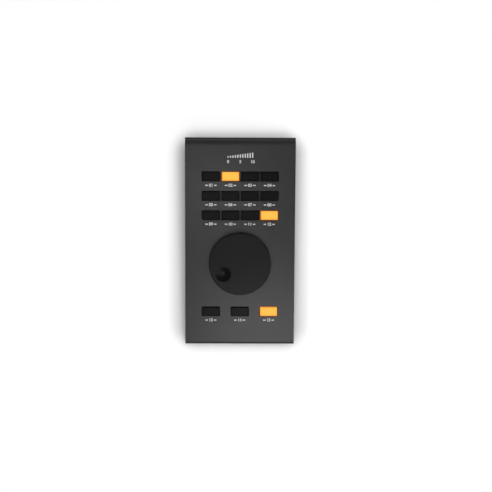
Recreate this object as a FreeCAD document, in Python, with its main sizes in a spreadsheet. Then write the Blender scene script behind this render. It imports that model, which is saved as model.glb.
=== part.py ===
import FreeCAD, Part
import math
import os
import re
import Sketcher

# Driving sizes, in millimetres and degrees

SIZES = {
    # Case of folded sheet: a cover over a tray
    "case_width": 107.8,
    "case_depth": 202.6,
    "front_height": 17,
    "panel_tilt": 9,
    "sheet": 1.5,
    "rear_bend": 7,
    "tight_bend": 2.2,
    "flange_depth": 14,
    "flange_side_gap": 0.9,
    "tray_inset": 0.7,
    "tray_gap": 0.3,
    # Feet and the screws that close the case
    "foot_height": 3,
    "foot_width": 14,
    "foot_taper": 1.5,
    "foot_from_side": 14,
    "foot_from_end": 21,
    "case_screw_from_side": 12,
    "case_screw_from_end": 8,
    "screw_width": 2.9,
    "screw_head_width": 5.4,
    "screw_head_height": 1.25,
    "case_screw_length": 6.5,
    "case_screw_socket": 1.8,
    "screw_clearance": 0.15,
    "press_nut_width": 6.3,
    "press_nut_height": 2.2,
    # Keys: rows are measured up the panel from the front corner
    "key_pitch": 19.05,
    "first_row": 128.3,
    "low_row": 32.6,
    "window_web": 0.87,
    "window_height": 9.8,
    "window_corner": 0.9,
    "key_gap": 0.62,
    "cap_rise": 1.8,
    "cap_skirt": 2.5,
    "cap_wall": 1.1,
    "cap_top_wall": 1.3,
    "cap_edge": 0.35,
    "key_travel": 1.2,
    "boss_wall": 1,
    "stem_width": 3.2,
    "stem_depth": 2.6,
    "stem_grip": 2.2,
    # Switches under the keys
    "board_drop": 11,
    "housing_width": 12,
    "housing_height": 8.2,
    "housing_wall": 0.9,
    "housing_lift_gap": 0.7,
    "guide_gap": 0.12,
    "shoulder_reach": 0.9,
    "shoulder_height": 0.8,
    "shoulder_gap": 0.1,
    "dome_width": 5.8,
    "dome_crown_width": 3.48,
    "dome_height": 2.3,
    "dome_wall": 0.5,
    "dome_gap": 0.05,
    "light_width": 2,
    "light_depth": 1.25,
    "light_height": 0.8,
    "light_gap": 0.5,
    # Wheel and its encoder, whose row is measured like the keys'
    "wheel_row": 81.2,
    "wheel_width": 60.8,
    "wheel_gap": 1,
    "wheel_top": 10,
    "wheel_rim": 4,
    "wheel_web": 4.2,
    "wheel_edge": 0.5,
    "hub_width": 15,
    "hub_lift": 0.7,
    "dimple_width": 15,
    "dimple_depth": 2,
    "dimple_offset": 18.9,
    "dimple_angle": 211.5,
    "dimple_edge": 0.5,
    "insert_width": 10,
    "insert_height": 5,
    "shaft_width": 6,
    "shaft_flat": 1.5,
    "shaft_tip_gap": 0.4,
    "shaft_fit_gap": 0.04,
    "bushing_width": 9,
    "bushing_reach": 3.4,
    "bushing_flange_width": 13,
    "bushing_flange_height": 1.6,
    "panel_hole_gap": 0.15,
    "running_gap": 0.05,
    "washer_width": 13.5,
    "washer_height": 0.6,
    "nut_width": 12,
    "nut_height": 2,
    "encoder_width": 17,
    "encoder_wall": 1.2,
    "disc_width": 12.6,
    "disc_height": 0.6,
    "disc_hub_width": 8.5,
    "disc_hub_height": 1.4,
    "disc_gap": 0.3,
    # Main board, hung from the panel, with its rear posts measured from its rear edge
    "board_height": 1.6,
    "board_side_gap": 1.6,
    "board_front": 13,
    "board_rear_gap": 17,
    "board_edge_gap": 1,
    "standoff_width": 5.5,
    "standoff_from_side": 9.2,
    "standoff_front": 19,
    "standoff_middle": 104,
    "standoff_rear": 9,
    "board_screw_length": 5,
    "board_screw_head_width": 5.6,
    "board_screw_head_height": 2,
    "board_screw_head_taper": 0.7,
    "board_screw_socket": 2,
    # Rear board and its two sockets
    "rear_board_width": 66,
    "rear_board_depth": 31,
    "rear_board_gap": 0.4,
    "rear_post_height": 4.4,
    "rear_post_across": 12,
    "usb_across": -21,
    "usb_width": 12,
    "usb_height": 11,
    "usb_depth": 16,
    "usb_skin": 0.3,
    "usb_face_gap": 0.4,
    "plug_width": 8.5,
    "plug_height": 7.8,
    "plug_chamfer": 1.6,
    "plug_depth": 9.5,
    "tongue_width": 5.6,
    "tongue_height": 3.2,
    "tongue_setback": 0.8,
    "contact_pitch": 2.5,
    "contact_width": 1.1,
    "contact_height": 0.25,
    "contact_length": 6.5,
    "jack_across": 21,
    "jack_width": 15.6,
    "jack_height": 14.4,
    "jack_depth": 24,
    "jack_bore": 6.5,
    "jack_thread": 9.4,
    "jack_reach": 2.6,
    "jack_wall": 1.6,
    "jack_seat": 3,
    "jack_nut_width": 12.4,
    "jack_nut_height": 2.2,
    "spring_width": 2.4,
    "spring_height": 0.4,
    "spring_length": 13,
    "spring_step": 3.5,
    "plug_gap": 0.35,
    # Flat cable between the boards; its upper header is measured from the main board's rear edge
    "cable_width": 16,
    "cable_height": 0.3,
    "header_depth": 4.6,
    "header_height": 4.4,
    "header_row": 14,
    "slot_depth": 2.2,
    "slot_gap": 0.1,
    "cable_straight": 0.7,
    # Larger parts soldered to the boards
    "chip_width": 14,
    "small_chip_width": 7,
    "small_chip_depth": 4.9,
    "small_chip_step": 10.5,
    "chip_height": 1.2,
    "chip_row": 52,
    "chip_step": 17,
    "can_width": 6.3,
    "can_height": 5.6,
    "can_row": 150,
    "can_step": 11,
    "coil_width": 13,
    "coil_depth": 6.5,
    "coil_height": 5.2,
    "coil_gap": 1.5,
}

KEY_COLUMNS = 4
KEY_ROWS = 3
LOW_COLUMNS = 3
SMALL_CHIPS = 3
CANS = 3

doc = FreeCAD.newDocument("studio_controller")
sheet = doc.addObject("Spreadsheet::Sheet", "Sizes")
for row, (size_name, size_value) in enumerate(SIZES.items(), start=1):
    sheet.set(f"A{row}", size_name)
    sheet.set(f"B{row}", str(size_value))
    sheet.setAlias(f"B{row}", size_name)
doc.recompute()

SIZE_NAMES = re.compile(r"\b(" + "|".join(SIZES) + r")\b")
UP = FreeCAD.Vector(0, 0, 1)

# Places worked out from the sizes; each may use the sizes and other places

PLACES = {
    # The case, measured back from its front wall and up from its underside
    "case_front": "-(case_depth + jack_reach)/2",
    "rear_wall": "case_depth - sheet",
    "tray_side": "case_width/2 - tray_inset",
    "flange_side": "tray_side - sheet - flange_side_gap",
    "flange_top": "2*sheet",
    "window_width": "key_pitch - window_web",
    # Keys, switches and the wheel, measured above the panel
    "cap_width": "window_width - 2*key_gap",
    "cap_height": "window_height - 2*key_gap",
    "housing_top": "-cap_skirt - key_travel - housing_lift_gap",
    "shoulder_top": "housing_top - housing_wall - shoulder_gap",
    "stem_tip": "dome_height + dome_gap - board_drop",
    "hub_bottom": "bushing_reach + hub_lift",
    "shaft_tip": "hub_bottom + insert_height - shaft_tip_gap",
    "bushing_flange_bottom": "-sheet - bushing_flange_height",
    "disc_top": "bushing_flange_bottom - disc_gap",
    # Boards and sockets; the main board always reaches past the last row of switches
    "last_row": f"first_row + {KEY_ROWS - 1}*key_pitch",
    "board_side": "tray_side - sheet - board_side_gap",
    "board_rear": "max(case_depth - board_rear_gap; last_row + housing_height/2 + board_edge_gap)",
    "rear_board_top": "flange_top + rear_post_height + board_height",
    "rear_board_end": "rear_wall - rear_board_gap",
    "usb_centre": "rear_board_top + usb_height/2",
    "jack_centre": "rear_board_top + jack_height/2",
    # Flat cable: both mouths of its headers, and the gap between them
    "header_place": "board_rear - header_row",
    "mouth_drop": "board_drop + board_height + header_height",
    "upper_mouth_back": "header_place*cos(panel_tilt) + mouth_drop*sin(panel_tilt)",
    "upper_mouth_rise": "front_height + header_place*sin(panel_tilt) - mouth_drop*cos(panel_tilt)",
    "lower_mouth_rise": "rear_board_top + header_height",
    "mouth_gap": "upper_mouth_rise - lower_mouth_rise",
    "lower_mouth_back": "upper_mouth_back + mouth_gap/2*tan(panel_tilt)",
}
PANEL_PLANE = "placement(vector(0; 0; front_height); rotation(vector(1; 0; 0); panel_tilt))"
PLACE_NAMES = re.compile(r"\b(" + "|".join(PLACES) + r")\b")

# Expressions and placements


def sized(expression):
    """Write out every place named in an expression, and point every size at its cell."""
    while PLACE_NAMES.search(expression):
        expression = PLACE_NAMES.sub(lambda match: f"({PLACES[match.group()]})", expression)
    return SIZE_NAMES.sub(r"Sizes.\1", expression)


def value(expression):
    """Work out an expression as a number."""
    return float(sheet.evalExpression(sized(expression)))


def bind(item, **expressions):
    """Bind properties of an object to expressions over the sizes."""
    for name, expression in expressions.items():
        item.setExpression(name, sized(expression))


def shifted(across="0", back="0", rise="0", axis="0; 0; 1", turn="0"):
    """Write a placement: a shift and a turn about an axis."""
    return f"placement(vector({across}; {back}; {rise}); rotation(vector({axis}); {turn}))"


def seat_in_case(piece, across="0", back="0", rise="0"):
    """Place a piece by distances from the case's front wall and underside."""
    bind(piece, Placement=shifted(across, f"case_front + {back}", f"foot_height + {rise}"))


def seat_on_panel(piece, across="0", up="0", above="0"):
    """Place a piece by distances along and above the sloping panel, tilted with it."""
    back = f"({up})*cos(panel_tilt) - ({above})*sin(panel_tilt)"
    rise = f"front_height + ({up})*sin(panel_tilt) + ({above})*cos(panel_tilt)"
    bind(piece, Placement=shifted(across, f"case_front + {back}", f"foot_height + {rise}",
                                  "1; 0; 0", "panel_tilt"))


# Sketches and features


def new_body(label):
    """Start a piece."""
    body = doc.addObject("PartDesign::Body", label)
    body.Label = label
    return body


def new_sketch(body, role="XY_Plane", offset=None):
    """Start a sketch on one of the body's own origin planes."""
    sketch = body.newObject("Sketcher::SketchObject", "Sketch")
    plane = next(item for item in body.Origin.OriginFeatures if item.Role == role)
    sketch.AttachmentSupport = [(plane, "")]
    sketch.MapMode = "FlatFace"
    if offset is not None:
        bind(sketch, AttachmentOffset=offset)
    return sketch


def constrain(sketch, kind, *where, size):
    """Add one dimension to a sketch, bound to an expression."""
    index = sketch.addConstraint(Sketcher.Constraint(kind, *where, value(size)))
    sketch.setExpression(f"Constraints[{index}]", sized(size))


def pin(sketch, geometry, point, x, y):
    """Hold one point of a sketch at two distances from the sketch's origin."""
    constrain(sketch, "DistanceX", -1, 1, geometry, point, size=x)
    constrain(sketch, "DistanceY", -1, 1, geometry, point, size=y)


def draw_polygon(sketch, corners):
    """Draw a closed outline through corners written as expressions."""
    points = [FreeCAD.Vector(value(x), value(y), 0) for x, y in corners]
    first = sketch.GeometryCount
    for start, end in zip(points, points[1:] + points[:1]):
        sketch.addGeometry(Part.LineSegment(start, end))
    for side, (x, y) in enumerate(corners):
        following = first + (side + 1) % len(corners)
        sketch.addConstraint(Sketcher.Constraint("Coincident", first + side, 2, following, 1))
        pin(sketch, first + side, 1, x, y)


def draw_rectangle(sketch, width, height, x="0", y="0"):
    """Draw a rectangle about a centre."""
    left, right = f"({x}) - ({width})/2", f"({x}) + ({width})/2"
    bottom, top = f"({y}) - ({height})/2", f"({y}) + ({height})/2"
    draw_polygon(sketch, [(left, bottom), (right, bottom), (right, top), (left, top)])


def draw_rounded_rectangle(sketch, width, height, radius, x="0", y="0"):
    """Draw a rectangle with four corner arcs about a centre."""
    first = sketch.GeometryCount
    reach_x, reach_y = f"(({width})/2 - ({radius}))", f"(({height})/2 - ({radius}))"
    signs = [("+", "+"), ("-", "+"), ("-", "-"), ("+", "-")]
    centres = [(f"({x}) {sx} {reach_x}", f"({y}) {sy} {reach_y}") for sx, sy in signs]
    arcs = []
    for quarter, (cx, cy) in enumerate(centres):
        circle = Part.Circle(FreeCAD.Vector(value(cx), value(cy), 0), UP, value(radius))
        start = quarter*math.pi/2
        arcs.append(Part.ArcOfCircle(circle, start, start + math.pi/2))
    for arc in arcs:
        sketch.addGeometry(arc)
    for arc, following in zip(arcs, arcs[1:] + arcs[:1]):
        sketch.addGeometry(Part.LineSegment(arc.EndPoint, following.StartPoint))
    for quarter, (cx, cy) in enumerate(centres):
        arc, side = first + quarter, first + len(arcs) + quarter
        following = first + (quarter + 1) % len(arcs)
        sketch.addConstraint(Sketcher.Constraint("Tangent", arc, 2, side, 1))
        sketch.addConstraint(Sketcher.Constraint("Tangent", side, 2, following, 1))
        pin(sketch, arc, 3, cx, cy)
        constrain(sketch, "Radius", arc, size=radius)


def draw_circle(sketch, width, x="0", y="0"):
    """Draw a circle of a given width about a centre."""
    centre = FreeCAD.Vector(value(x), value(y), 0)
    index = sketch.addGeometry(Part.Circle(centre, UP, value(f"({width})/2")))
    pin(sketch, index, 3, x, y)
    constrain(sketch, "Radius", index, size=f"({width})/2")


def draw_hexagon(sketch, across_flats, x="0", y="0"):
    """Draw a hexagon about a centre, two of its corners along X."""
    corner = f"({across_flats})/2/cos(30)"
    draw_polygon(sketch, [(f"({x}) + {corner}*cos({angle})", f"({y}) + {corner}*sin({angle})")
                          for angle in range(0, 360, 60)])


def draw_flatted_circle(sketch, width, flat, x="0", y="0"):
    """Draw a circle about the centre with a flat cut from its top side."""
    radius = value(f"({width})/2")
    height = value(f"({width})/2 - ({flat})")
    half = math.sqrt(radius**2 - height**2)
    angle = math.atan2(height, half)
    centre = FreeCAD.Vector(value(x), value(y), 0)
    arc = Part.ArcOfCircle(Part.Circle(centre, UP, radius), math.pi - angle, 2*math.pi + angle)
    first = sketch.addGeometry(arc)
    sketch.addGeometry(Part.LineSegment(arc.EndPoint, arc.StartPoint))
    sketch.addConstraint(Sketcher.Constraint("Coincident", first, 2, first + 1, 1))
    sketch.addConstraint(Sketcher.Constraint("Coincident", first + 1, 2, first, 1))
    sketch.addConstraint(Sketcher.Constraint("Horizontal", first + 1))
    pin(sketch, first, 3, x, y)
    constrain(sketch, "Radius", first, size=f"({width})/2")
    constrain(sketch, "DistanceY", -1, 1, first + 1, 1, size=f"({y}) + ({width})/2 - ({flat})")


def add_feature(body, kind, sketch, **expressions):
    """Add a feature that uses a sketch as its profile."""
    feature = body.newObject(f"PartDesign::{kind}", kind)
    feature.Profile = sketch
    bind(feature, **expressions)
    return feature


def pad(body, sketch, length, symmetric=False, reverse=False):
    """Raise a sketch into a solid."""
    feature = add_feature(body, "Pad", sketch, Length=length)
    if symmetric:
        feature.SideType = "Symmetric"
    feature.Reversed = reverse
    return feature


def pocket(body, sketch, length, symmetric=False, reverse=False):
    """Cut a sketch out of the solid, away from the sketch's own normal."""
    feature = add_feature(body, "Pocket", sketch, Length=length)
    if symmetric:
        feature.SideType = "Symmetric"
    feature.Reversed = reverse
    return feature


def turn(body, sketch, kind="Revolution"):
    """Turn a sketch full circle about its own vertical axis."""
    feature = add_feature(body, kind, sketch)
    feature.ReferenceAxis = (sketch, ["V_Axis"])
    feature.Angle = 360
    return feature


def turned_body(label, outline):
    """Make a round piece from half of its cross-section."""
    body = new_body(label)
    sketch = new_sketch(body, "XZ_Plane")
    draw_polygon(sketch, outline)
    turn(body, sketch)
    return body


def spread(body, originals, sketch, columns, length, rows=1, height="0"):
    """Repeat features in a row or a grid along a sketch's axes."""
    pattern = body.newObject("PartDesign::LinearPattern", "LinearPattern")
    pattern.Originals = originals
    pattern.Direction = (sketch, ["H_Axis"])
    pattern.Occurrences = columns
    bind(pattern, Length=length)
    if rows > 1:
        pattern.Direction2 = (sketch, ["V_Axis"])
        pattern.Occurrences2 = rows
        bind(pattern, Length2=height)
    body.Tip = pattern
    return pattern


def edge_names(shape, wanted):
    """Name the edges of a shape that a test picks."""
    return [f"Edge{index}" for index, edge in enumerate(shape.Edges, start=1) if wanted(edge)]


def round_edges(body, wanted, radius):
    """Round the edges of a body that a test picks."""
    doc.recompute()
    base = body.Tip
    names = edge_names(base.Shape, wanted)
    if not names:
        raise RuntimeError(f"no edge to round on {body.Label}")
    feature = body.newObject("PartDesign::Fillet", "Fillet")
    feature.Base = (base, names)
    bind(feature, Radius=radius)
    return feature


def lies_at(*places):
    """Make a test for edges whose ends all lie at one of the given x, y or z levels."""
    targets = [{axis: value(level) for axis, level in place.items()} for place in places]

    def wanted(edge):
        return any(all(abs(getattr(vertex.Point, axis) - target) < 0.001
                       for vertex in edge.Vertexes for axis, target in place.items())
                   for place in targets)
    return wanted


def repeat(label, master, places, seat):
    """Gather one piece at several places into one node of separate solids."""
    copies = []
    for place in places:
        link = doc.addObject("App::Link", f"{label}_copy")
        link.setLink(master)
        seat(link, **place)
        copies.append(link)
    group = doc.addObject("Part::Compound", label)
    group.Label = label
    group.Links = copies
    return group


def block(label, width, depth, height, across="0", back="0", rise="0"):
    """Make a plain block, centred over a place in its own frame."""
    box = doc.addObject("Part::Box", label)
    bind(box, Length=width, Width=depth, Height=height,
         Placement=shifted(f"({across}) - ({width})/2", f"({back}) - ({depth})/2", rise))
    return box


def rod(label, width, height, across="0", back="0", rise="0"):
    """Make a plain upright cylinder in its own frame."""
    cylinder = doc.addObject("Part::Cylinder", label)
    bind(cylinder, Radius=f"({width})/2", Height=height, Placement=shifted(across, back, rise))
    return cylinder


def gather(label, pieces):
    """Gather pieces into one node of separate solids."""
    group = doc.addObject("Part::Compound", label)
    group.Label = label
    group.Links = pieces
    return group


def key_places():
    """List the keys' places on the panel, from the top left, row by row."""
    places = []
    for row_index in reversed(range(KEY_ROWS)):
        for column in range(KEY_COLUMNS):
            places.append({"across": f"({column} - ({KEY_COLUMNS} - 1)/2)*key_pitch",
                           "up": f"first_row + {row_index}*key_pitch"})
    for column in range(LOW_COLUMNS):
        spacing = (KEY_COLUMNS - 1)/(LOW_COLUMNS - 1)
        places.append({"across": f"({column} - ({LOW_COLUMNS} - 1)/2)*{spacing}*key_pitch",
                       "up": "low_row"})
    return places


def four_corners(from_side, from_end, rise="0"):
    """List four places near the corners of the case."""
    return [{"across": f"{side}*(case_width/2 - {from_side})", "back": back, "rise": rise}
            for side in (-1, 1)
            for back in (from_end, f"case_depth - {from_end}")]


# Case


def make_top_cover():
    """Fold the front wall, the sloping panel, the rear wall and two lips from one sheet."""
    body = new_body("top_cover")
    outer_top = "front_height + case_depth*tan(panel_tilt)"
    drop = "sheet/cos(panel_tilt)"
    inner_front_top = f"front_height + sheet*tan(panel_tilt) - {drop}"
    inner_rear_top = f"front_height + rear_wall*tan(panel_tilt) - {drop}"
    profile = new_sketch(body, "YZ_Plane")
    draw_polygon(profile, [
        ("flange_depth", "sheet"), ("0", "sheet"), ("0", "front_height"), ("case_depth", outer_top),
        ("case_depth", "sheet"), ("case_depth - flange_depth", "sheet"),
        ("case_depth - flange_depth", "flange_top"), ("rear_wall", "flange_top"),
        ("rear_wall", inner_rear_top), ("sheet", inner_front_top), ("sheet", "flange_top"),
        ("flange_depth", "flange_top")])
    pad(body, profile, "case_width", symmetric=True)
    round_edges(body, lies_at({"y": "case_depth", "z": outer_top}), "rear_bend")
    round_edges(body, lies_at({"y": "rear_wall", "z": inner_rear_top}), "rear_bend - sheet")
    round_edges(body, lies_at({"y": "0", "z": "front_height"}, {"y": "0", "z": "sheet"},
                              {"y": "case_depth", "z": "sheet"}), "tight_bend")
    round_edges(body, lies_at({"y": "sheet", "z": inner_front_top}, {"y": "sheet", "z": "flange_top"},
                              {"y": "rear_wall", "z": "flange_top"}), "tight_bend - sheet")
    cut_lip_ends(body)
    cut_windows(body)
    cut_cover_holes(body)
    seat_in_case(body)
    return body


def cut_lip_ends(body):
    """Notch both ends of the two lips, so that they pass between the tray's sides."""
    notch_top = "sheet + tight_bend + tray_gap"
    for side in (-1, 1):
        notch = new_sketch(body, "XZ_Plane")
        inner, outer = f"{side}*flange_side", f"{side}*case_width"
        corners = [(inner, "0"), (outer, "0"), (outer, notch_top), (inner, notch_top)]
        draw_polygon(notch, corners if side > 0 else corners[::-1])
        pocket(body, notch, "case_depth")


def cut_windows(body):
    """Punch the key windows and the hole for the wheel's bushing in the panel."""
    groups = [(KEY_COLUMNS, KEY_ROWS, "first_row", "key_pitch"),
              (LOW_COLUMNS, 1, "low_row", f"{KEY_COLUMNS - 1}/{LOW_COLUMNS - 1}*key_pitch")]
    for columns, rows, first_row, spacing in groups:
        window = new_sketch(body, "XY_Plane", PANEL_PLANE)
        draw_rounded_rectangle(window, "window_width", "window_height", "window_corner",
                               f"-{columns - 1}/2*{spacing}", first_row)
        opening = pocket(body, window, "2*sheet", symmetric=True)
        spread(body, [opening], window, columns, f"{columns - 1}*{spacing}",
               rows, f"{rows - 1}*key_pitch")
    hole = new_sketch(body, "XY_Plane", PANEL_PLANE)
    draw_circle(hole, "bushing_width + 2*panel_hole_gap", "0", "wheel_row")
    pocket(body, hole, "2*sheet", symmetric=True)


def cut_cover_holes(body):
    """Cut the rear wall for its two sockets, and drill the lips for screws."""
    sockets = new_sketch(body, "XZ_Plane", shifted(rise="-case_depth"))
    draw_rectangle(sockets, "usb_width + 2*usb_face_gap", "usb_height + 2*usb_face_gap",
                   "usb_across", "usb_centre")
    draw_circle(sockets, "jack_thread + 2*panel_hole_gap", "jack_across", "jack_centre")
    pocket(body, sockets, "4*sheet", symmetric=True)
    screws = new_sketch(body)
    for place in four_corners("case_screw_from_side", "case_screw_from_end"):
        draw_circle(screws, "screw_width + 2*screw_clearance", place["across"], place["back"])
    pocket(body, screws, "2*flange_top", symmetric=True)


def make_base_tray():
    """Fold the floor and the two wedge-shaped side walls from one sheet."""
    body = new_body("base_tray")
    wall_front, wall_rear = "(sheet + tray_gap)", "(rear_wall - tray_gap)"
    corner = "tight_bend"
    end = "tray_gap"
    floor = new_sketch(body)
    outline = [("tray_side", wall_front), ("tray_side", wall_rear),
               (f"tray_side - {corner}", wall_rear), (f"tray_side - {corner}", f"case_depth - {end}")]
    mirrored = [(f"-({x})", y) for x, y in reversed(outline)]
    last = [(f"-(tray_side - {corner})", wall_front), (f"-(tray_side - {corner})", end),
            (f"tray_side - {corner}", end), (f"tray_side - {corner}", wall_front)]
    draw_polygon(floor, outline + mirrored + last)
    pad(body, floor, "sheet")
    slope = "tan(panel_tilt)"
    under = "(sheet + tray_gap)/cos(panel_tilt)"
    wall_top = f"front_height + {wall_rear}*{slope} - {under}"
    for side in (-1, 1):
        wall = new_sketch(body, "YZ_Plane", shifted(rise=f"{side}*(tray_side - sheet/2)"))
        draw_polygon(wall, [
            (wall_front, "0"), (wall_rear, "0"),
            (wall_rear, wall_top),
            (wall_front, f"front_height + {wall_front}*{slope} - {under}")])
        pad(body, wall, "sheet", symmetric=True)
    round_edges(body, lies_at({"y": wall_rear, "z": wall_top}), "rear_bend - sheet - tray_gap")
    round_edges(body, lies_at(*({"x": f"{side}*tray_side", "z": "0"} for side in (-1, 1))),
                "tight_bend")
    round_edges(body, lies_at(*({"x": f"{side}*(tray_side - sheet)", "z": "sheet"}
                                for side in (-1, 1))), "tight_bend - sheet")
    holes = new_sketch(body)
    for place in four_corners("case_screw_from_side", "case_screw_from_end"):
        draw_circle(holes, "screw_width + 2*screw_clearance", place["across"], place["back"])
    pocket(body, holes, "4*sheet", symmetric=True)
    for place in four_corners("case_screw_from_side", "case_screw_from_end"):
        sink = body.newObject("PartDesign::SubtractiveCone", "Countersink")
        bind(sink, Radius1="screw_head_width/2 + screw_clearance",
             Radius2="screw_width/2 + screw_clearance", Height="screw_head_height",
             Placement=shifted(place["across"], place["back"]))
    seat_in_case(body)
    return body


def make_feet():
    """Turn one tapered rubber foot and set four under the tray."""
    foot = turned_body("foot", [("0", "0"), ("foot_width/2 - foot_taper", "0"),
                                ("foot_width/2", "foot_height"), ("0", "foot_height")])
    return repeat("rubber_feet", foot,
                  four_corners("foot_from_side", "foot_from_end", "-foot_height"), seat_in_case)


def make_case_screws():
    """Turn one countersunk screw with a socket in its head and set four in the tray."""
    screw = turned_body("case_screw", [
        ("0", "0"), ("screw_head_width/2", "0"), ("screw_width/2", "screw_head_height"),
        ("screw_width/2", "case_screw_length"), ("0", "case_screw_length")])
    socket = new_sketch(screw)
    draw_hexagon(socket, "case_screw_socket")
    pocket(screw, socket, "screw_head_height", reverse=True)
    return repeat("case_screws", screw,
                  four_corners("case_screw_from_side", "case_screw_from_end"), seat_in_case)


def make_press_nuts():
    """Turn one press nut and set four on the cover's lips."""
    bore = "(screw_width/2 + running_gap)"
    nut = turned_body("press_nut", [
        (bore, "0"), ("press_nut_width/2", "0"), ("press_nut_width/2", "press_nut_height"),
        (bore, "press_nut_height")])
    return repeat("press_nuts", nut,
                  four_corners("case_screw_from_side", "case_screw_from_end", "flange_top"), seat_in_case)


# Keys and switches


def make_cap(number, place):
    """Mould one hollow key cap with a boss for its stem."""
    body = new_body(f"cap_{number:02d}")
    outline = new_sketch(body, offset=shifted(rise="-cap_skirt"))
    draw_rounded_rectangle(outline, "cap_width", "cap_height", "window_corner - cap_edge")
    pad(body, outline, "cap_skirt + cap_rise")
    round_edges(body, lies_at({"z": "cap_rise"}), "cap_edge")
    hollow = new_sketch(body, offset=shifted(rise="-cap_skirt"))
    draw_rectangle(hollow, "cap_width - 2*cap_wall", "cap_height - 2*cap_wall")
    draw_rectangle(hollow, "stem_width + 2*boss_wall", "stem_depth + 2*boss_wall")
    pocket(body, hollow, "cap_skirt + cap_rise - cap_top_wall", reverse=True)
    socket = new_sketch(body, offset=shifted(rise="-cap_skirt"))
    draw_rectangle(socket, "stem_width", "stem_depth")
    pocket(body, socket, "stem_grip", reverse=True)
    seat_on_panel(body, **place)
    return body


def make_stem(number, place):
    """Mould one stem: a post, the shoulder that keeps it in its housing, and a tip."""
    body = new_body(f"stem_{number:02d}")
    post = new_sketch(body, offset=shifted(rise="stem_tip"))
    draw_rectangle(post, "stem_width", "stem_depth")
    pad(body, post, "stem_grip - cap_skirt - stem_tip")
    shoulder = new_sketch(body, offset=shifted(rise="shoulder_top"))
    draw_rectangle(shoulder, "stem_width + 2*shoulder_reach", "stem_depth + 2*shoulder_reach")
    pad(body, shoulder, "shoulder_height", reverse=True)
    seat_on_panel(body, **place)
    return body


def make_switch_housings():
    """Mould one hollow switch housing with a guide hole and set one under each key."""
    body = new_body("housing")
    outline = new_sketch(body, offset=shifted(rise="-board_drop"))
    draw_rectangle(outline, "housing_width", "housing_height")
    pad(body, outline, "board_drop + housing_top")
    room = new_sketch(body, offset=shifted(rise="-board_drop"))
    draw_rectangle(room, "housing_width - 2*housing_wall", "housing_height - 2*housing_wall")
    pocket(body, room, "board_drop + housing_top - housing_wall", reverse=True)
    guide = new_sketch(body, offset=shifted(rise="housing_top"))
    draw_rectangle(guide, "stem_width + 2*guide_gap", "stem_depth + 2*guide_gap")
    pocket(body, guide, "2*housing_wall", symmetric=True)
    return repeat("switch_housings", body, key_places(), seat_on_panel)


def make_switch_domes():
    """Mould one thin rubber dome and set one under each stem."""
    foot, crown = "dome_width/2", "dome_crown_width/2"
    dome = turned_body("dome", [
        (f"{foot} - dome_wall", "-board_drop"), (foot, "-board_drop"),
        (crown, "dome_height - board_drop"), ("0", "dome_height - board_drop"),
        ("0", "dome_height - dome_wall - board_drop"),
        (f"{crown} - dome_wall/2", "dome_height - dome_wall - board_drop")])
    return repeat("switch_domes", dome, key_places(), seat_on_panel)


def make_switch_lights():
    """Set a light at each end of every switch, to glow through the cap's ends."""
    offset = "housing_width/2 + light_gap + light_width/2"
    lights = [block("light", "light_width", "light_depth", "light_height", f"{side}*({offset})",
                    rise="-board_drop") for side in (-1, 1)]
    pair = gather("light_pair", lights)
    return repeat("switch_lights", pair, key_places(), seat_on_panel)


# Wheel and encoder


def make_jog_wheel():
    """Turn the wheel hollow below, with a hub, and sink a finger dimple in its top."""
    web_bottom = "(wheel_top - wheel_web)"
    insert_top = "(hub_bottom + insert_height)"
    body = turned_body("jog_wheel", [
        ("insert_width/2", "hub_bottom"), ("hub_width/2", "hub_bottom"), ("hub_width/2", web_bottom),
        ("wheel_width/2 - wheel_rim", web_bottom), ("wheel_width/2 - wheel_rim", "wheel_gap"),
        ("wheel_width/2", "wheel_gap"), ("wheel_width/2", "wheel_top"), ("0", "wheel_top"),
        ("0", insert_top), ("insert_width/2", insert_top)])
    round_edges(body, lies_at({"z": "wheel_top", "x": "wheel_width/2"}), "wheel_edge")
    dimple_radius = "(((dimple_width/2)^2 + dimple_depth^2)/(2*dimple_depth))"
    dimple = body.newObject("PartDesign::SubtractiveSphere", "Dimple")
    bind(dimple, Radius=dimple_radius, Placement=shifted(
        "dimple_offset*cos(dimple_angle)", "dimple_offset*sin(dimple_angle)",
        f"wheel_top + {dimple_radius} - dimple_depth"))
    round_edges(body, is_dimple_rim, "dimple_edge")
    seat_on_panel(body, up="wheel_row")
    return body


def is_dimple_rim(edge):
    """Pick the circle where the dimple meets the wheel's top."""
    return abs(edge.Length - math.pi*value("dimple_width")) < 0.01


def make_wheel_insert():
    """Turn the brass insert that grips the shaft, with a D-shaped bore."""
    body = new_body("wheel_insert")
    outline = new_sketch(body, offset=shifted(rise="hub_bottom"))
    draw_circle(outline, "insert_width")
    draw_flatted_circle(outline, "shaft_width + 2*shaft_fit_gap", "shaft_flat")
    pad(body, outline, "insert_height")
    seat_on_panel(body, up="wheel_row")
    return body


def make_encoder_shaft():
    """Turn the shaft and mill the flat that the insert grips."""
    body = new_body("encoder_shaft")
    round_part = new_sketch(body, offset=shifted(rise="disc_top - disc_hub_height"))
    draw_circle(round_part, "shaft_width")
    pad(body, round_part, "hub_bottom - hub_lift/2 - disc_top + disc_hub_height")
    flatted = new_sketch(body, offset=shifted(rise="hub_bottom - hub_lift/2"))
    draw_flatted_circle(flatted, "shaft_width", "shaft_flat")
    pad(body, flatted, "shaft_tip - hub_bottom + hub_lift/2")
    seat_on_panel(body, up="wheel_row")
    return body


def make_code_disc():
    """Turn the slotted disc on its hub, fixed to the shaft below the bushing."""
    bore = "shaft_width/2"
    body = turned_body("code_disc", [
        (bore, "disc_top - disc_hub_height"), ("disc_hub_width/2", "disc_top - disc_hub_height"),
        ("disc_hub_width/2", "disc_top - disc_height"), ("disc_width/2", "disc_top - disc_height"),
        ("disc_width/2", "disc_top"), (bore, "disc_top")])
    seat_on_panel(body, up="wheel_row")
    return body


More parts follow.
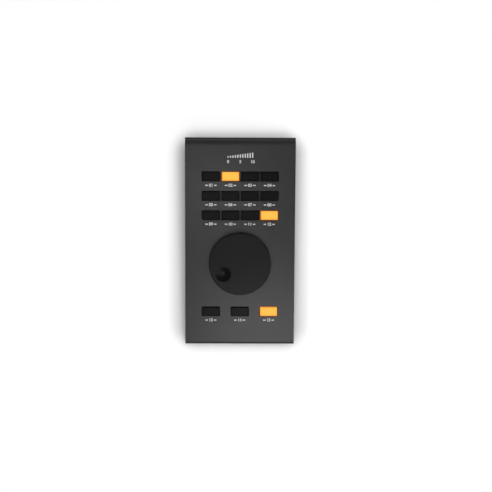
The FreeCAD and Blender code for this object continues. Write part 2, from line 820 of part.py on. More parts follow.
def make_encoder_bushing():
    """Turn the flanged bushing that carries the shaft and passes through the panel."""
    bore = "(shaft_width/2 + running_gap)"
    body = turned_body("encoder_bushing", [
        (bore, "bushing_flange_bottom"), ("bushing_flange_width/2", "bushing_flange_bottom"),
        ("bushing_flange_width/2", "-sheet"), ("bushing_width/2", "-sheet"),
        ("bushing_width/2", "bushing_reach"), (bore, "bushing_reach")])
    seat_on_panel(body, up="wheel_row")
    return body


def make_encoder_body():
    """Mould the square cup that closes the encoder from below and stands on the board."""
    body = new_body("encoder_body")
    outline = new_sketch(body, offset=shifted(rise="-board_drop"))
    draw_rectangle(outline, "encoder_width", "encoder_width")
    pad(body, outline, "board_drop + bushing_flange_bottom")
    room = new_sketch(body, offset=shifted(rise="bushing_flange_bottom"))
    draw_circle(room, "encoder_width - 2*encoder_wall")
    pocket(body, room, "board_drop + bushing_flange_bottom - encoder_wall")
    seat_on_panel(body, up="wheel_row")
    return body


def make_encoder_washer():
    """Turn the washer between the panel and the bushing's nut."""
    bore = "(bushing_width/2 + panel_hole_gap)"
    body = turned_body("encoder_washer", [
        (bore, "0"), ("washer_width/2", "0"), ("washer_width/2", "washer_height"),
        (bore, "washer_height")])
    seat_on_panel(body, up="wheel_row")
    return body


def make_encoder_nut():
    """Cut the hexagonal nut that clamps the bushing to the panel."""
    body = new_body("encoder_nut")
    outline = new_sketch(body, offset=shifted(rise="washer_height"))
    draw_hexagon(outline, "nut_width")
    draw_circle(outline, "bushing_width")
    pad(body, outline, "nut_height")
    seat_on_panel(body, up="wheel_row")
    return body


# Main board


def standoff_places():
    """List the six places where the main board hangs from the panel."""
    return [{"across": f"{side}*(case_width/2 - standoff_from_side)", "up": row}
            for side in (-1, 1)
            for row in ("standoff_front", "standoff_middle", "board_rear - standoff_rear")]


def make_main_board():
    """Cut the board that carries the switches, parallel to the panel."""
    body = new_body("main_board")
    outline = new_sketch(body, offset=shifted(rise="-board_drop"))
    draw_polygon(outline, [("-board_side", "board_front"), ("board_side", "board_front"),
                           ("board_side", "board_rear"), ("-board_side", "board_rear")])
    for place in standoff_places():
        draw_circle(outline, "screw_width + 2*screw_clearance", place["across"], place["up"])
    pad(body, outline, "board_height", reverse=True)
    seat_on_panel(body)
    return body


def make_board_standoffs():
    """Turn one threaded post of each length: six under the panel, two on the rear lip."""
    bore = "(screw_width/2 + running_gap)"
    long_post = turned_body("long_post", [
        (bore, "-board_drop"), ("standoff_width/2", "-board_drop"), ("standoff_width/2", "-sheet"),
        (bore, "-sheet")])
    short_post = turned_body("short_post", [
        (bore, "0"), ("standoff_width/2", "0"), ("standoff_width/2", "rear_post_height"),
        (bore, "rear_post_height")])
    hung = repeat("hung_posts", long_post, standoff_places(), seat_on_panel)
    stood = repeat("stood_posts", short_post, rear_post_places("flange_top"), seat_in_case)
    return gather("board_standoffs", [hung, stood])


def rear_post_places(rise):
    """List the two places where the rear board stands on the rear lip."""
    return [{"across": f"{side}*rear_post_across/2", "back": "case_depth - flange_depth/2",
             "rise": rise} for side in (-1, 1)]


def make_board_screws():
    """Turn one round-headed screw and set it in every board post."""
    screw = turned_body("board_screw", [
        ("0", "board_screw_head_height"), ("0", "-board_screw_length"),
        ("screw_width/2", "-board_screw_length"), ("screw_width/2", "0"),
        ("board_screw_head_width/2", "0"),
        ("board_screw_head_width/2 - board_screw_head_taper", "board_screw_head_height")])
    socket = new_sketch(screw, offset=shifted(rise="board_screw_head_height"))
    draw_hexagon(socket, "board_screw_socket")
    pocket(screw, socket, "board_screw_head_height/2")
    upright = repeat("upright_screws", screw, rear_post_places("rear_board_top"), seat_in_case)
    hanging = repeat("hanging_screws", screw, standoff_places(), hang_from_board)
    return gather("board_screws", [upright, hanging])


def hang_from_board(piece, across, up):
    """Place a piece upside down under the main board."""
    above = "(-board_drop - board_height)"
    back = f"({up})*cos(panel_tilt) - {above}*sin(panel_tilt)"
    rise = f"front_height + ({up})*sin(panel_tilt) + {above}*cos(panel_tilt)"
    bind(piece, Placement=shifted(across, f"case_front + {back}", f"foot_height + {rise}",
                                  "1; 0; 0", "panel_tilt + 180"))


# Rear board and its sockets


def rear_sketch(body, place):
    """Start a sketch that faces the rear at a distance from the front wall."""
    return new_sketch(body, "XZ_Plane", shifted(rise=f"-({place})"))


def make_rear_board():
    """Cut the small board that carries the two sockets, standing on the rear lip."""
    body = new_body("rear_board")
    outline = new_sketch(body, offset=shifted(rise="rear_board_top"))
    draw_rectangle(outline, "rear_board_width", "rear_board_depth", "0",
                   "rear_board_end - rear_board_depth/2")
    for place in rear_post_places("rear_board_top"):
        draw_circle(outline, "screw_width + 2*screw_clearance", place["across"], place["back"])
    pad(body, outline, "board_height", reverse=True)
    seat_in_case(body)
    return body


def make_usb_shell():
    """Bend the thin metal shell round the square socket, open at the rear and below."""
    body = new_body("usb_shell")
    outline = rear_sketch(body, "case_depth")
    draw_rectangle(outline, "usb_width", "usb_height", "usb_across", "usb_centre")
    pad(body, outline, "usb_depth")
    room = rear_sketch(body, "case_depth")
    draw_rectangle(room, "usb_width - 2*usb_skin", "usb_height - usb_skin", "usb_across",
                   "usb_centre - usb_skin/2")
    pocket(body, room, "usb_depth - usb_skin", reverse=True)
    seat_in_case(body)
    return body


def make_usb_insulator():
    """Mould the socket's insulator: a room with two cut corners, and a tongue inside it."""
    body = new_body("usb_insulator")
    outline = rear_sketch(body, "case_depth")
    draw_rectangle(outline, "usb_width - 2*usb_skin", "usb_height - usb_skin", "usb_across",
                   "usb_centre - usb_skin/2")
    pad(body, outline, "usb_depth - usb_skin")
    room = rear_sketch(body, "case_depth")
    half, low, high = "plug_width/2", "usb_centre - plug_height/2", "usb_centre + plug_height/2"
    draw_polygon(room, [
        (f"usb_across - {half}", low), (f"usb_across + {half}", low),
        (f"usb_across + {half}", f"{high} - plug_chamfer"),
        (f"usb_across + {half} - plug_chamfer", high), (f"usb_across - {half} + plug_chamfer", high),
        (f"usb_across - {half}", f"{high} - plug_chamfer")])
    pocket(body, room, "plug_depth", reverse=True)
    tongue = rear_sketch(body, "(case_depth - plug_depth)")
    draw_rectangle(tongue, "tongue_width", "tongue_height", "usb_across", "usb_centre")
    pad(body, tongue, "plug_depth - tongue_setback", reverse=True)
    seat_in_case(body)
    return body


def make_usb_contacts():
    """Lay two contacts on each face of the socket's tongue."""
    contacts = [block("contact", "contact_width", "contact_length", "contact_height",
                      f"usb_across + {side}*contact_pitch/2",
                      "case_depth - plug_depth + contact_length/2",
                      f"usb_centre + {level}*(tongue_height + contact_height)/2 - contact_height/2")
                for side in (-1, 1) for level in (-1, 1)]
    group = gather("usb_contacts", contacts)
    seat_in_case(group)
    return group


def make_jack_body():
    """Mould the jack's body with its round chamber, open at the rear."""
    body = new_body("jack_body")
    outline = rear_sketch(body, "rear_wall")
    draw_rectangle(outline, "jack_width", "jack_height", "jack_across", "jack_centre")
    pad(body, outline, "jack_depth")
    chamber = rear_sketch(body, "rear_wall")
    draw_circle(chamber, "jack_thread + 2*running_gap", "jack_across", "jack_centre")
    pocket(body, chamber, "jack_depth - jack_wall", reverse=True)
    seat_in_case(body)
    return body


def make_jack_bushing():
    """Turn the threaded bushing that a plug passes through, seated in the jack's mouth."""
    body = new_body("jack_bushing")
    outline = rear_sketch(body, "(rear_wall - jack_seat)")
    draw_circle(outline, "jack_bore", "jack_across", "jack_centre")
    draw_circle(outline, "jack_thread", "jack_across", "jack_centre")
    pad(body, outline, "jack_seat + sheet + jack_reach", reverse=True)
    seat_in_case(body)
    return body


def make_jack_nut():
    """Cut the hexagonal nut that clamps the jack to the rear wall."""
    body = new_body("jack_nut")
    outline = rear_sketch(body, "case_depth")
    draw_hexagon(outline, "jack_nut_width", "jack_across", "jack_centre")
    draw_circle(outline, "jack_thread", "jack_across", "jack_centre")
    pad(body, outline, "jack_nut_height", reverse=True)
    seat_in_case(body)
    return body


def make_jack_contacts():
    """Root three spring contacts of unlike length in the floor of the jack's chamber."""
    root = "(rear_wall - jack_depth + jack_wall)"
    offset = "(jack_bore/2 + plug_gap + spring_height/2)"
    springs = []
    for number, (sideways, upward) in enumerate(((0, 1), (0, -1), (1, 0))):
        length = f"(spring_length - {number}*spring_step)"
        width, height = ("spring_width", "spring_height")[::1 if upward else -1]
        springs.append(block("spring", width, length, height,
                             f"jack_across + {sideways}*{offset}", f"{root} + {length}/2",
                             f"jack_centre + {upward}*{offset} - {height}/2"))
    group = gather("jack_contacts", springs)
    seat_in_case(group)
    return group


# Flat cable, and the larger parts on the boards


def make_cable_headers():
    """Mould one slotted header and set one under the main board and one on the rear board."""
    header = new_body("header")
    outline = new_sketch(header)
    draw_rectangle(outline, "cable_width + header_depth", "header_depth")
    pad(header, outline, "header_height")
    slot = new_sketch(header, offset=shifted(rise="header_height"))
    draw_rectangle(slot, "cable_width + 2*slot_gap", "cable_height + 2*slot_gap")
    pocket(header, slot, "slot_depth")
    upper = repeat("upper_header", header, [{"across": "0", "up": "header_place"}], hang_from_board)
    lower = repeat("lower_header", header,
                   [{"back": "lower_mouth_back", "rise": "rear_board_top"}], seat_in_case)
    return gather("cable_headers", [upper, lower])


def make_flat_cable():
    """Bend the flat cable from header to header: two straight runs and one gentle arc."""
    tilt = math.radians(value("panel_tilt"))
    outwards = FreeCAD.Vector(0, math.sin(tilt), -math.cos(tilt))
    upper = FreeCAD.Vector(0, value("upper_mouth_back"), value("upper_mouth_rise"))
    lower = FreeCAD.Vector(0, value("lower_mouth_back"), value("lower_mouth_rise"))
    depth = value("slot_depth - slot_gap")
    corner = FreeCAD.Vector(0, lower.y, (upper.z + lower.z)/2)
    run = min(corner.distanceToPoint(upper), corner.distanceToPoint(lower))
    reach = run - value("cable_straight")
    bend_start, bend_end = corner - outwards*reach, corner - UP*reach
    radius = reach/math.tan(tilt/2)
    centre = bend_end - FreeCAD.Vector(0, radius, 0)
    bend_middle = centre + FreeCAD.Vector(0, math.cos(tilt/2), math.sin(tilt/2))*radius
    path = Part.Wire([
        Part.LineSegment(upper - outwards*depth, bend_start).toShape(),
        Part.Arc(bend_start, bend_middle, bend_end).toShape(),
        Part.LineSegment(bend_end, lower - UP*depth).toShape()])
    half = value("cable_height/2")
    band = path.makeOffset2D(half, fill=True, openResult=True)
    strip = band.extrude(FreeCAD.Vector(value("cable_width"), 0, 0))
    cable = doc.addObject("Part::Feature", "flat_cable")
    cable.Label = "flat_cable"
    cable.Shape = strip
    seat_in_case(cable, "-cable_width/2")
    return cable


def make_board_parts():
    """Set chips and can capacitors under the main board, and a coil on the rear board."""
    chip_rise = "-board_drop - board_height - chip_height"
    can_rise = "-board_drop - board_height - can_height"
    chips = [block("processor", "chip_width", "chip_width", "chip_height", "-chip_step/2",
                   "chip_row", chip_rise)]
    for number in range(SMALL_CHIPS):
        row = f"chip_row + ({number} - ({SMALL_CHIPS} - 1)/2)*small_chip_step"
        chips.append(block("driver", "small_chip_width", "small_chip_depth", "chip_height",
                           "chip_step/2", row, chip_rise))
    cans = [rod("can", "can_width", "can_height", f"({number} - ({CANS} - 1)/2)*can_step", "can_row",
                can_rise) for number in range(CANS)]
    under_main = gather("under_main_board", chips + cans)
    seat_on_panel(under_main)
    coil = block("coil", "coil_width", "coil_depth", "coil_height", "usb_across",
                 "case_depth - usb_depth - coil_gap - coil_depth/2", "rear_board_top")
    seat = gather("on_rear_board", [coil])
    seat_in_case(seat)
    return gather("board_parts", [under_main, seat])


# Build everything and write the pieces

NODES = [make_top_cover(), make_base_tray(), make_feet(), make_case_screws(), make_press_nuts()]
for key_number, key_place in enumerate(key_places(), start=1):
    NODES.append(make_cap(key_number, key_place))
    NODES.append(make_stem(key_number, key_place))
NODES += [make_switch_housings(), make_switch_domes(), make_switch_lights()]
NODES += [make_jog_wheel(), make_wheel_insert(), make_encoder_shaft(), make_code_disc(),
          make_encoder_bushing(), make_encoder_body(), make_encoder_washer(), make_encoder_nut()]
NODES += [make_main_board(), make_board_standoffs(), make_board_screws(), make_rear_board(),
          make_usb_shell(), make_usb_insulator(), make_usb_contacts(),
          make_jack_body(), make_jack_bushing(), make_jack_nut(), make_jack_contacts(),
          make_cable_headers(), make_flat_cable(), make_board_parts()]

doc.recompute()
CUTS = ("PartDesign::Pocket", "PartDesign::SubtractiveCone", "PartDesign::SubtractiveSphere")
for item in doc.Objects:
    if "Invalid" in item.State or "Error" in item.State:
        raise RuntimeError(f"{item.Label} failed: {item.State}")
    if item.TypeId in CUTS and item.Shape.Volume >= item.BaseFeature.Shape.Volume:
        raise RuntimeError(f"{item.Label} cut nothing")
for node in NODES:
    if node.Shape.isNull() or not node.Shape.isValid():
        raise RuntimeError(f"{node.Label} has no valid shape")

os.makedirs("parts", exist_ok=True)
for node in NODES:
    node.Shape.exportStep(f"parts/{node.Label}.step")
    print(node.Label, len(node.Shape.Solids), round(node.Shape.Volume, 2))
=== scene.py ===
import math

import bpy
from mathutils import Euler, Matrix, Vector


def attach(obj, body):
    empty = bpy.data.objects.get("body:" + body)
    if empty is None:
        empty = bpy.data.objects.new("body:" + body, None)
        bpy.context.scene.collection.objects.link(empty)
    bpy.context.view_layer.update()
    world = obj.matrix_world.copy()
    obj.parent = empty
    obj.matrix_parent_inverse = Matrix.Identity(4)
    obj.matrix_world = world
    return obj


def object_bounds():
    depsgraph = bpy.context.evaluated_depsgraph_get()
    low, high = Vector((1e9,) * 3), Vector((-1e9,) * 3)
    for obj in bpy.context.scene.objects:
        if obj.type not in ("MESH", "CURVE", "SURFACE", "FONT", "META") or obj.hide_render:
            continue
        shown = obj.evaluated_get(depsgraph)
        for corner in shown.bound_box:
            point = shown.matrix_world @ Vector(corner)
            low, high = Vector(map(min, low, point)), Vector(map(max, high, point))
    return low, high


MM = 0.001

# Camera, fitted to the case corners, key windows and wheel outline in the photograph. Its sensor
# width and focal length are in millimetres, its place in metres and its turn in degrees.

SENSOR_WIDTH = 36.0
FOCAL_LENGTH = 78.28
CAMERA_PLACE = (-9.01*MM, -32.44*MM, 1087.17*MM)
CAMERA_TURN = (1.45, -0.817, 0.165)

# Sizes of the case that the printed marks are laid out on, as in the frame

PANEL_TILT = math.radians(9)
CASE_FRONT = -102.6*MM
FRONT_CORNER_RISE = 20*MM
KEY_PITCH = 19.05*MM
FIRST_ROW = 128.3*MM
LOW_ROW = 32.6*MM
KEY_COLUMNS = 4
KEY_ROWS = 3
LOW_COLUMNS = 3

# Printed marks

INK_RISE = 0.02*MM
INK_THICKNESS = 0.01*MM
LABEL_DROP = 8.75*MM
LABEL_SIZE = 4.1*MM
NUMBER_WIDTH = 4.5*MM
STROKE_SWELL = 0.09*MM
RULE_LENGTH = 2.4*MM
RULE_GAP = 0.8*MM
RULE_HEIGHT = 1.0*MM
BAR_CORNERS = ((-1, -1), (1, -1), (1, 1), (-1, 1))
SCALE_UP = 187.1*MM
SCALE_WIDTH = 25*MM
SCALE_STEPS = 10
SCALE_BAR = 1.1*MM
LOWEST_BAR = 1.5*MM
HIGHEST_BAR = 5*MM
SCALE_NUMBERS_DROP = 6.4*MM

# Grained materials: the noise's usual span, and its detail in the grain and in the clouds of
# colour. The clouds' size and the grain's height are in grain sizes. The shares are those of the
# way from dark to light and of the roughness.

NOISE_SPAN = (0.3, 0.7)
GRAIN_DETAIL = 3
CLOUD_DETAIL = 2
CLOUD_SIZE = 60
GRAIN_HEIGHT = 0.3
CLOUD_SHARES = (0.2, 0.8)
ROUGHNESS_SHARES = (0.9, 1.1)
EDGE_RADIUS = 0.15*MM
PANEL_EDGE_RADIUS = 0.1*MM
BEVEL_SAMPLES = 4

# Materials that need no more than a grain: their dark and light colours, roughness, size and
# strength of the grain, and how far they are metal

PLAIN_MATERIALS = {
    "black_moulding": ((0.012, 0.012, 0.012), (0.018, 0.018, 0.018), 0.5, 0.3*MM, 0.3, 0),
    "foot_rubber": ((0.012, 0.012, 0.012), (0.02, 0.02, 0.02), 0.8, 0.4*MM, 0.4, 0),
    "zinc_steel": ((0.50, 0.51, 0.53), (0.60, 0.60, 0.62), 0.35, 0.2*MM, 0.2, 1),
    "nickel": ((0.60, 0.58, 0.54), (0.68, 0.66, 0.62), 0.25, 0.2*MM, 0.1, 1),
    "brass": ((0.70, 0.48, 0.18), (0.78, 0.56, 0.25), 0.3, 0.2*MM, 0.1, 1),
    "contact_gold": ((0.83, 0.60, 0.24), (0.88, 0.66, 0.30), 0.25, 0.2*MM, 0.1, 1),
    "board_mask": ((0.005, 0.005, 0.006), (0.008, 0.008, 0.009), 0.4, 0.5*MM, 0.2, 0),
    "white_moulding": ((0.60, 0.59, 0.55), (0.68, 0.67, 0.63), 0.5, 0.3*MM, 0.2, 0),
    "dome_silicone": ((0.35, 0.35, 0.35), (0.42, 0.42, 0.42), 0.6, 0.3*MM, 0.2, 0),
    "light_resin": ((0.10, 0.05, 0.015), (0.14, 0.07, 0.02), 0.25, 0.3*MM, 0.05, 0),
}

# Nodes of each material, without the caps and stems. The rest are black mouldings.

NODES_BY_MATERIAL = {
    "panel": ("top_cover", "base_tray"),
    "wheel": ("jog_wheel",),
    "foot_rubber": ("rubber_feet",),
    "zinc_steel": ("case_screws", "press_nuts", "board_standoffs", "board_screws", "encoder_washer",
                   "encoder_shaft"),
    "nickel": ("usb_shell", "encoder_bushing", "encoder_nut", "jack_bushing", "jack_nut"),
    "brass": ("wheel_insert",),
    "contact_gold": ("usb_contacts", "jack_contacts"),
    "board_mask": ("main_board", "rear_board"),
    "white_moulding": ("cable_headers", "flat_cable"),
    "dome_silicone": ("switch_domes",),
    "light_resin": ("switch_lights",),
}

# Lit keys, the extents of a cap as it lies, and its glow, which deepens over a rim

LIT_KEYS = (2, 12, 15)
LIT_CAP_EXTENTS = {"X": 16.9*MM, "Y": 9.1*MM}
LIT_RIM = 1.3*MM
AMBER = (1.0, 0.52, 0.062)
DEEP_ORANGE = (0.93, 0.24, 0.010)
UNLIT_ORANGE = (0.05, 0.02, 0.003)

# Studio: each lamp's lean from the vertical in degrees, to the right and to the rear, its
# half-width in degrees as the object sees it, and its share of the plain light. The top lamp is
# the broad light over the camera, which the photograph's coats don't mirror. The world adds an
# even light. Where it is seen as a background, it is white up to the first of two rises, which are
# the heights that a direction of length 1 climbs, and fades to that even light at the second.

LAMP_DISTANCE = 1.4
TOP_LAMP = (1, 0, 14, 0.70)
MIRRORED_LAMPS = {
    "side_lamp": (35, -36, 26, 0.16),
    "front_lamp": (2.2, -25.4, 6, 0.036),
    "rear_lamp": (-2.2, -11.2, 2, 0.0095),
}
WORLD_LIGHT = 0.14
WHITE_RISES = (0.15, 0.45)
WHITE = (1, 1, 1, 1)

# Floor: its width in metres, its own grey, and two glows that it shows where it is seen as a
# background, each with its start, its end and its strength from there on. The near one grows
# outwards from a rectangle inside the object's outline, so that round the object the floor keeps
# its own grey, a painted shadow that deepens and widens the lamps' real shadow, round at the
# corners. The far one is added where the lamps don't reach.

FLOOR_WIDTH = 8
FLOOR_GREY = 0.70
NEAR_GLOW_ROUND_PAINTED_SHADOW = (13*MM, 35*MM, 0.42)
FAR_GLOW = (0.3, 1.5, 0.6)
INSET_FRONT = 19*MM
INSET_REAR = 16*MM
INSET_SIDE = 12.5*MM

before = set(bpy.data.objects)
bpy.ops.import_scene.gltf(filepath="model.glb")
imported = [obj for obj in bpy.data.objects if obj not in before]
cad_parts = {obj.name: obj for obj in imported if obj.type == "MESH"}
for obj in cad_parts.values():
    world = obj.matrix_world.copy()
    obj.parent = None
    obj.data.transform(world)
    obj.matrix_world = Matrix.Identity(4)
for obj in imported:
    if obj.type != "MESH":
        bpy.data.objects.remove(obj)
cad_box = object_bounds()


# Shader helpers


def new_material(name):
    """Start a material and give back its tree and main shader."""
    material = bpy.data.materials.new(name)
    material.use_nodes = True
    tree = material.node_tree
    return material, tree, tree.nodes["Principled BSDF"]


def adjust(node, **settings):
    """Set a node's properties, and its sockets, whose names start with a capital."""
    for name, setting in settings.items():
        if name[0].isupper():
            node.inputs[name.replace("_", " ")].default_value = setting
        else:
            setattr(node, name, setting)


def add(tree, kind, **settings):
    """Add a shader node with some of its properties and sockets set."""
    node = tree.nodes.new(kind)
    adjust(node, **settings)
    return node


def coordinates(tree, kind):
    """Give the coordinates of a kind of the point that is shaded."""
    return tree.nodes.new("ShaderNodeTexCoord").outputs[kind]


def by_axis(tree, vector):
    """Split a vector into its X, Y and Z."""
    node = tree.nodes.new("ShaderNodeSeparateXYZ")
    tree.links.new(vector, node.inputs["Vector"])
    return node.outputs


def in_steps(tree, vector, steps):
    """Put a vector through operations in turn, each with its other vector or none."""
    for operation, other in steps:
        node = add(tree, "ShaderNodeVectorMath", operation=operation)
        tree.links.new(vector, node.inputs[0])
        if other:
            node.inputs[1].default_value = other
        vector = node.outputs["Vector"]
    return vector


def combine(tree, operation, first, second):
    """Give what an operation makes of two values."""
    node = add(tree, "ShaderNodeMath", operation=operation)
    tree.links.new(first, node.inputs[0])
    tree.links.new(second, node.inputs[1])
    return node.outputs["Value"]


def change_range(tree, value, start, end, low, high, **settings):
    """Turn a value from low, up to its start, to high, from its end."""
    node = add(tree, "ShaderNodeMapRange", From_Min=start, From_Max=end, To_Min=low, To_Max=high,
               **settings)
    tree.links.new(value, node.inputs["Value"])
    return node.outputs["Result"]


def ease(tree, value, start, end, low, high):
    """Turn a value smoothly from low, up to its start, to high, from its end."""
    return change_range(tree, value, start, end, low, high, interpolation_type="SMOOTHSTEP")


def noise(tree, size, detail):
    """Give a noise whose grains are about a given size in metres."""
    node = add(tree, "ShaderNodeTexNoise", Scale=1/size, Detail=detail)
    tree.links.new(coordinates(tree, "Object"), node.inputs["Vector"])
    return node.outputs["Fac"]


def tint(tree, factor, first, second):
    """Mix two colours by a factor."""
    node = add(tree, "ShaderNodeMix", data_type="RGBA", A=(*first, 1), B=(*second, 1))
    tree.links.new(factor, node.inputs["Factor"])
    return node.outputs["Result"]


def bump(tree, height, strength, distance, edge_radius):
    """Turn a height into a normal, over edges softened by a radius."""
    node = add(tree, "ShaderNodeBump", Strength=strength, Distance=distance)
    tree.links.new(height, node.inputs["Height"])
    if edge_radius:
        bevel = add(tree, "ShaderNodeBevel", samples=BEVEL_SAMPLES, Radius=edge_radius)
        tree.links.new(bevel.outputs["Normal"], node.inputs["Normal"])
    return node.outputs["Normal"]


def seen_as_background(tree):
    """Give 1 to rays from the camera, from a gloss and through a clear solid, and else 0."""
    path = tree.nodes.new("ShaderNodeLightPath")
    seen = path.outputs["Is Camera Ray"]
    for ray in ("Is Glossy Ray", "Is Transmission Ray"):
        seen = combine(tree, "MAXIMUM", seen, path.outputs[ray])
    return seen


def distance_outside(tree, half_width, half_depth):
    """Give the distance of a point of the floor from a rectangle about the floor's own middle."""
    steps = (("ABSOLUTE", None), ("SUBTRACT", (half_width, half_depth, 0)), ("MAXIMUM", (0, 0, 0)))
    beyond = in_steps(tree, coordinates(tree, "Object"), steps)
    length = add(tree, "ShaderNodeVectorMath", operation="LENGTH")
    tree.links.new(beyond, length.inputs[0])
    return length.outputs["Value"]


def grained(name, dark, light, roughness, grain, strength, metallic=0, edge=EDGE_RADIUS, **sockets):
    """Make a material with a fine grain in its gloss and surface, and clouds in its colour."""
    material, tree, shader = new_material(name)
    grains = noise(tree, grain, GRAIN_DETAIL)
    clouds = noise(tree, grain*CLOUD_SIZE, CLOUD_DETAIL)
    smooth, rough = (roughness*share for share in ROUGHNESS_SHARES)
    inputs = {
        "Base Color": tint(tree, change_range(tree, clouds, *NOISE_SPAN, *CLOUD_SHARES), dark, light),
        "Roughness": change_range(tree, grains, *NOISE_SPAN, smooth, rough),
        "Normal": bump(tree, grains, strength, grain*GRAIN_HEIGHT, edge),
    }
    for socket, output in inputs.items():
        tree.links.new(output, shader.inputs[socket])
    adjust(shader, Metallic=metallic, **sockets)
    return material


# Materials


def panel_material():
    """Satin dark grey powder coat: a fine orange-peel grain over a faintly cloudy grey.

    Its gloss comes from metal flakes alone, and is held down at a grazing angle.
    """
    return grained("panel_coat", dark=(0.056, 0.056, 0.056), light=(0.060, 0.060, 0.059),
                   roughness=0.24, grain=0.35*MM, strength=0.05, metallic=0.65,
                   edge=PANEL_EDGE_RADIUS, Specular_Tint=(0, 0, 0, 1), Specular_IOR_Level=0)


def wheel_material():
    """Black satin wheel with a fine grain."""
    return grained("wheel_coat", dark=(0.0028, 0.0028, 0.0028), light=(0.0036, 0.0036, 0.0036),
                   roughness=0.25, grain=0.25*MM, strength=0.05, Specular_IOR_Level=0.22)


def cap_material():
    """Smoked key cap: near black with a smooth satin face."""
    return grained("cap_smoked", dark=(0.0025, 0.0025, 0.0025), light=(0.0035, 0.0035, 0.0035),
                   roughness=0.26, grain=0.2*MM, strength=0.05, Specular_IOR_Level=0.13)


def lit_cap_material():
    """Lit key cap: glowing amber, deeper orange towards its edges."""
    material, tree, shader = new_material("cap_lit")
    half = 0.5
    steps = (("SUBTRACT", (half, half, half)), ("ABSOLUTE", None))
    away = by_axis(tree, in_steps(tree, coordinates(tree, "Generated"), steps))
    rims = [ease(tree, away[axis], half - LIT_RIM/extent, half, 0, 1)
            for axis, extent in LIT_CAP_EXTENTS.items()]
    glow = tint(tree, combine(tree, "MAXIMUM", *rims), AMBER, DEEP_ORANGE)
    tree.links.new(glow, shader.inputs["Emission Color"])
    adjust(shader, Emission_Strength=1, Base_Color=(*UNLIT_ORANGE, 1), Roughness=0.4)
    return material


def ink_material():
    """Printed light grey ink."""
    return grained("ink", dark=(0.60, 0.60, 0.60), light=(0.68, 0.68, 0.68),
                   roughness=0.6, grain=0.1*MM, strength=0.05, edge=0)


def floor_material(half_width, half_depth):
    """Matt pale floor that shows white away from a rectangle of a given half-size, and keeps its grey
    near it as a painted shadow round the object.
    """
    material, tree, shader = new_material("floor_white_painted_shadow")
    outside = distance_outside(tree, half_width, half_depth)
    # The near glow is left out round the object, so the floor's own grey there is a painted shadow on
    # top of the lamps' real shadow.
    near, far = (ease(tree, outside, start, end, 0, strength)
                 for start, end, strength in (NEAR_GLOW_ROUND_PAINTED_SHADOW, FAR_GLOW))
    glow = combine(tree, "MULTIPLY", combine(tree, "ADD", near, far), seen_as_background(tree))
    tree.links.new(glow, shader.inputs["Emission Strength"])
    adjust(shader, Base_Color=(FLOOR_GREY, FLOOR_GREY, FLOOR_GREY, 1), Roughness=1,
           Specular_IOR_Level=0, Emission_Color=WHITE)
    return material


def paint_world():
    """Light everything evenly and dimly, and show white above the floor's far edge."""
    world = bpy.data.worlds.new("studio_world")
    world.use_nodes = True
    tree = world.node_tree
    low = ease(tree, by_axis(tree, coordinates(tree, "Generated"))["Z"], *WHITE_RISES, 1, 0)
    white = combine(tree, "MULTIPLY", low, seen_as_background(tree))
    background = tree.nodes["Background"]
    adjust(background, Color=WHITE)
    tree.links.new(ease(tree, white, 0, 1, WORLD_LIGHT, 1), background.inputs["Strength"])
    bpy.context.scene.world = world


def material_of(node_name):
    """Say which material a node of the frame has."""
    if node_name.startswith("cap_"):
        return "lit_cap" if int(node_name[-2:]) in LIT_KEYS else "cap"
    if node_name.startswith("stem_"):
        return "dome_silicone"
    for material, node_names in NODES_BY_MATERIAL.items():
        if node_name in node_names:
            return material
    return "black_moulding"


def paint_nodes():
    """Give every piece of the frame its material."""
    materials = {"panel": panel_material(), "wheel": wheel_material(), "cap": cap_material(),
                 "lit_cap": lit_cap_material()}
    for name, settings in PLAIN_MATERIALS.items():
        materials[name] = grained(name, *settings)
    for name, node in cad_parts.items():
        node.data.materials.clear()
        node.data.materials.append(materials[material_of(name)])


# Printed marks on the panel


def put_in_scene(name, data):
    """Make an object and put it in the scene."""
    piece = bpy.data.objects.new(name, data)
    bpy.context.scene.collection.objects.link(piece)
    return piece


def panel_point(across, up, above):
    """Give the place of a point above the sloping panel."""
    back = up*math.cos(PANEL_TILT) - above*math.sin(PANEL_TILT)
    rise = up*math.sin(PANEL_TILT) + above*math.cos(PANEL_TILT)
    return Vector((across, CASE_FRONT + back, FRONT_CORNER_RISE + rise))


def key_places():
    """List the keys' places on the panel, from the top left, row by row."""
    grid = [((column - (KEY_COLUMNS - 1)/2)*KEY_PITCH, FIRST_ROW + row*KEY_PITCH)
            for row in reversed(range(KEY_ROWS)) for column in range(KEY_COLUMNS)]
    spacing = KEY_PITCH*(KEY_COLUMNS - 1)/(LOW_COLUMNS - 1)
    low = [((column - (LOW_COLUMNS - 1)/2)*spacing, LOW_ROW) for column in range(LOW_COLUMNS)]
    return grid + low


def lay_on_panel(piece, across, up, ink):
    """Lay a flat printed piece on the panel and let it ride on the case."""
    piece.location = panel_point(across, up, INK_RISE)
    piece.rotation_euler = (PANEL_TILT, 0, 0)
    piece.data.materials.append(ink)
    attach(piece, "case")


def print_text(name, words, across, up, ink):
    """Print a number on the panel."""
    curve = bpy.data.curves.new(name, "FONT")
    curve.body = words
    curve.size = LABEL_SIZE
    curve.offset = STROKE_SWELL
    curve.align_x = "CENTER"
    curve.align_y = "CENTER"
    curve.extrude = INK_THICKNESS
    lay_on_panel(put_in_scene(name, curve), across, up, ink)


def print_bars(name, bars, across, up, ink):
    """Print a set of small bars, each (x, y, width, height) about a place on the panel."""
    vertices, faces = [], []
    for x, y, width, height in bars:
        faces.append([len(vertices) + corner for corner in range(len(BAR_CORNERS))])
        vertices += [(x + side*width/2, y + level*height/2, INK_THICKNESS)
                     for side, level in BAR_CORNERS]
    mesh = bpy.data.meshes.new(name)
    mesh.from_pydata(vertices, [], faces)
    lay_on_panel(put_in_scene(name, mesh), across, up, ink)


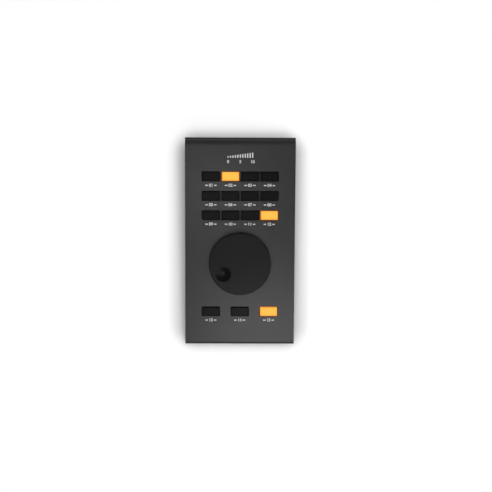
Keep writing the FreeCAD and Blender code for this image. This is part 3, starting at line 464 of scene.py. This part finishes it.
def print_key_numbers(ink):
    """Print a number between two short rules under each key."""
    offset = NUMBER_WIDTH/2 + RULE_GAP + RULE_LENGTH/2
    rules = [(side*offset, 0, RULE_LENGTH, RULE_HEIGHT) for side in (-1, 1)]
    for number, (across, up) in enumerate(key_places(), start=1):
        print_text(f"number_{number:02d}", f"{number:02d}", across, up - LABEL_DROP, ink)
        print_bars(f"rules_{number:02d}", rules, across, up - LABEL_DROP, ink)


def print_level_scale(ink):
    """Print a rising row of bars, with plain numbers under it, between the first keys and the bend."""
    bars = []
    for step in range(SCALE_STEPS + 1):
        share = step/SCALE_STEPS
        across = (share - 1/2)*(SCALE_WIDTH - SCALE_BAR)
        height = LOWEST_BAR + (HIGHEST_BAR - LOWEST_BAR)*share
        bars.append((across, (height - HIGHEST_BAR)/2, SCALE_BAR, height))
    print_bars("scale_bars", bars, 0, SCALE_UP, ink)
    for step in (0, SCALE_STEPS//2, SCALE_STEPS):
        across = bars[step][0]
        print_text(f"scale_number_{step}", str(step), across, SCALE_UP - SCALE_NUMBERS_DROP, ink)


# Studio


def hang_lamp(name, lean_right, lean_rear, half_width, share):
    """Hang a round soft lamp that gives the object its share of the plain light."""
    right, rear = math.tan(math.radians(lean_right)), math.tan(math.radians(lean_rear))
    place = Vector((right, rear, 1)).normalized()*LAMP_DISTANCE
    lamp = bpy.data.lights.new(name, "AREA")
    lamp.shape = "DISK"
    lamp.size = 2*LAMP_DISTANCE*math.tan(math.radians(half_width))
    # With a share of 1, this power makes a white face that is turned to the lamp about white
    lamp.energy = share*math.pi**2*LAMP_DISTANCE**2
    piece = put_in_scene(name, lamp)
    piece.location = place
    piece.rotation_euler = place.to_track_quat("Z", "Y").to_euler()
    return piece


def make_studio():
    """Set the white floor with its painted shadow round the object, the soft lamps and the even world
    light.
    """
    low, high = (Vector(corner) for corner in cad_box)
    # The rectangle, inset from the object's outline, sets where the floor's painted shadow ends.
    low += Vector((INSET_SIDE, INSET_FRONT, 0))
    high -= Vector((INSET_SIDE, INSET_REAR, 0))
    middle, half = (low + high)/2, (high - low)/2
    bpy.ops.mesh.primitive_plane_add(size=FLOOR_WIDTH, location=(middle.x, middle.y, 0))
    floor = bpy.context.object
    floor.name = "floor"
    floor.data.materials.append(floor_material(half.x, half.y))
    paint_world()
    hang_lamp("top_lamp", *TOP_LAMP).visible_glossy = False
    for name, setting in MIRRORED_LAMPS.items():
        hang_lamp(name, *setting)


def make_camera():
    """Stand the camera where the photograph was taken from."""
    lens = bpy.data.cameras.new("camera")
    lens.sensor_width = SENSOR_WIDTH
    lens.lens = FOCAL_LENGTH
    camera = put_in_scene("camera", lens)
    camera.location = CAMERA_PLACE
    camera.rotation_euler = Euler([math.radians(angle) for angle in CAMERA_TURN], "XYZ")
    bpy.context.scene.camera = camera


make_camera()
paint_nodes()
printed = ink_material()
print_key_numbers(printed)
print_level_scale(printed)
make_studio()
bpy.context.scene.view_settings.view_transform = "Standard"
